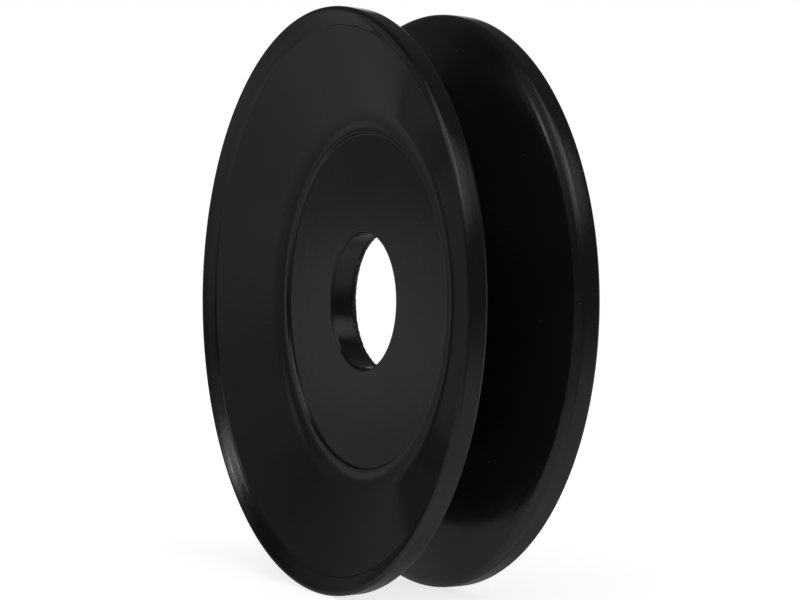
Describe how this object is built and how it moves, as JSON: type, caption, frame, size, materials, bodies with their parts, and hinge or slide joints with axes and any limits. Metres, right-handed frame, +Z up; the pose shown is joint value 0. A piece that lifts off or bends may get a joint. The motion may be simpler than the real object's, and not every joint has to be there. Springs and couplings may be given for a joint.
{
  "type": "v-belt pulley",
  "caption": "Single-groove V-belt pulley pressed from steel sheet: dished halves welded back to back, plain central bore, flared rims, black enamel.",
  "frame": {"origin": "on the shaft axis, midway between the two rims", "axes": "+Y along the shaft axis towards the machine, -Y towards the shaft nut, +Z up"},
  "size_m": [0.072, 0.0172, 0.072],
  "materials": {
    "front_enamel": "satin black enamel",
    "rear_enamel": "satin black enamel",
    "weld_steel": "as welded"
  },
  "bodies": {
    "root": {"front_half": "front_enamel", "rear_half": "rear_enamel", "weld_nuggets": "weld_steel"}
  },
  "joints": []
}
